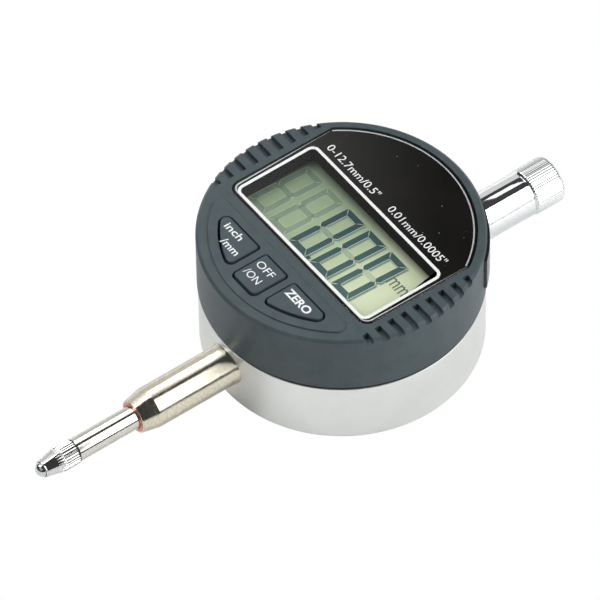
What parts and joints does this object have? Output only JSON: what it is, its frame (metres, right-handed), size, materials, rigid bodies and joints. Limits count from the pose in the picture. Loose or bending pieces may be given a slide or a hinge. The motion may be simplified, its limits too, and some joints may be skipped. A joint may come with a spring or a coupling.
{
  "type": "digital dial indicator",
  "caption": "Round digital plunger indicator with a display, keys, grip notches, a mounting stem, a sprung spindle with a ball contact and a chrome dust cap.",
  "frame": {"origin": "centre of the flat back face", "axes": "+Z out of the display, +Y along the spindle from the contact towards the dust cap, +X the way the display reads"},
  "size_m": [0.053, 0.1169, 0.0281],
  "materials": {
    "satin_housing": "satin, fine bead blast",
    "bezel_abs": "fine moulded texture, dark blue-grey ABS",
    "key_abs": "fine moulded texture with white printed legends",
    "clear_window": "clear moulded window",
    "black_print": "gloss black print with silver and white lines",
    "lcd_glass": "reflective liquid-crystal glass, grey-green",
    "black_plastic": "moulded black",
    "black_rubber": "soft black",
    "circuit_board": "green solder mask",
    "steel_screw": "plated steel",
    "nickel_stem": "nickel plate over turned brass",
    "copper_bush": "turned bronze, copper coloured",
    "brass_bush": "turned brass",
    "chrome_cap": "polished chrome plate",
    "polished_steel": "ground and polished steel",
    "bright_contact": "turned and plated steel",
    "ball_steel": "hardened polished ball",
    "door_plastic": "gloss black moulding",
    "cell_can": "nickel-plated steel can",
    "contact_spring": "sprung bronze strip"
  },
  "bodies": {
    "case": {"rear_housing": "satin_housing", "back_cover": "satin_housing", "back_cover_screws": "steel_screw", "case_screws": "steel_screw", "seal_ring": "black_rubber", "front_bezel": "bezel_abs", "window_lens": "clear_window", "window_mask": "black_print", "lcd_panel": "lcd_glass", "lcd_frame": "black_plastic", "zebra_strip": "black_rubber", "main_board": "circuit_board", "controller_chip": "black_plastic", "tact_switches": "steel_screw", "board_screws": "steel_screw", "board_connector": "black_plastic", "stator_board": "circuit_board", "stator_screws": "steel_screw", "stem": "nickel_stem", "lower_bush": "copper_bush", "upper_bush": "brass_bush", "stop_washer": "black_rubber", "guide_rail": "brass_bush", "rail_screws": "steel_screw", "return_spring": "polished_steel", "battery_contact_plus": "contact_spring", "battery_contact_minus": "contact_spring"},
    "plunger": {"spindle": "polished_steel", "contact_point": "bright_contact", "ball_tip": "ball_steel", "scale_carrier": "brass_bush", "carrier_screw": "steel_screw", "scale_strip": "circuit_board", "guide_pin": "polished_steel"},
    "units_key": {"units_button": "key_abs"},
    "power_key": {"power_button": "key_abs"},
    "zero_key": {"zero_button": "key_abs"},
    "battery_drawer": {"battery_door": "door_plastic", "battery_cell": "cell_can"},
    "cap": {"dust_cap": "chrome_cap"}
  },
  "joints": [
    {"name": "spindle_slide", "type": "slide", "parent": "case", "child": "plunger", "axis": [0, 1, 0], "range_m": [0, 0.0127], "stiffness_N_per_m": 60, "springref_m": -0.01, "deforming": ["return_spring"]},
    {"name": "units_press", "type": "slide", "parent": "case", "child": "units_key", "axis": [0, 0, -1], "range_m": [0, 0.0004], "stiffness_N_per_m": 1200, "springref_m": -0.0003},
    {"name": "power_press", "type": "slide", "parent": "case", "child": "power_key", "axis": [0, 0, -1], "range_m": [0, 0.0004], "stiffness_N_per_m": 1200, "springref_m": -0.0003},
    {"name": "zero_press", "type": "slide", "parent": "case", "child": "zero_key", "axis": [0, 0, -1], "range_m": [0, 0.0004], "stiffness_N_per_m": 1200, "springref_m": -0.0003},
    {"name": "battery_drawer_slide", "type": "slide", "parent": "case", "child": "battery_drawer", "axis": [0.5446, 0.8387, 0], "range_m": [0, 0.0135]},
    {"name": "dust_cap_pull", "type": "slide", "parent": "case", "child": "cap", "axis": [0, 1, 0], "range_m": [0, 0.024]}
  ]
}
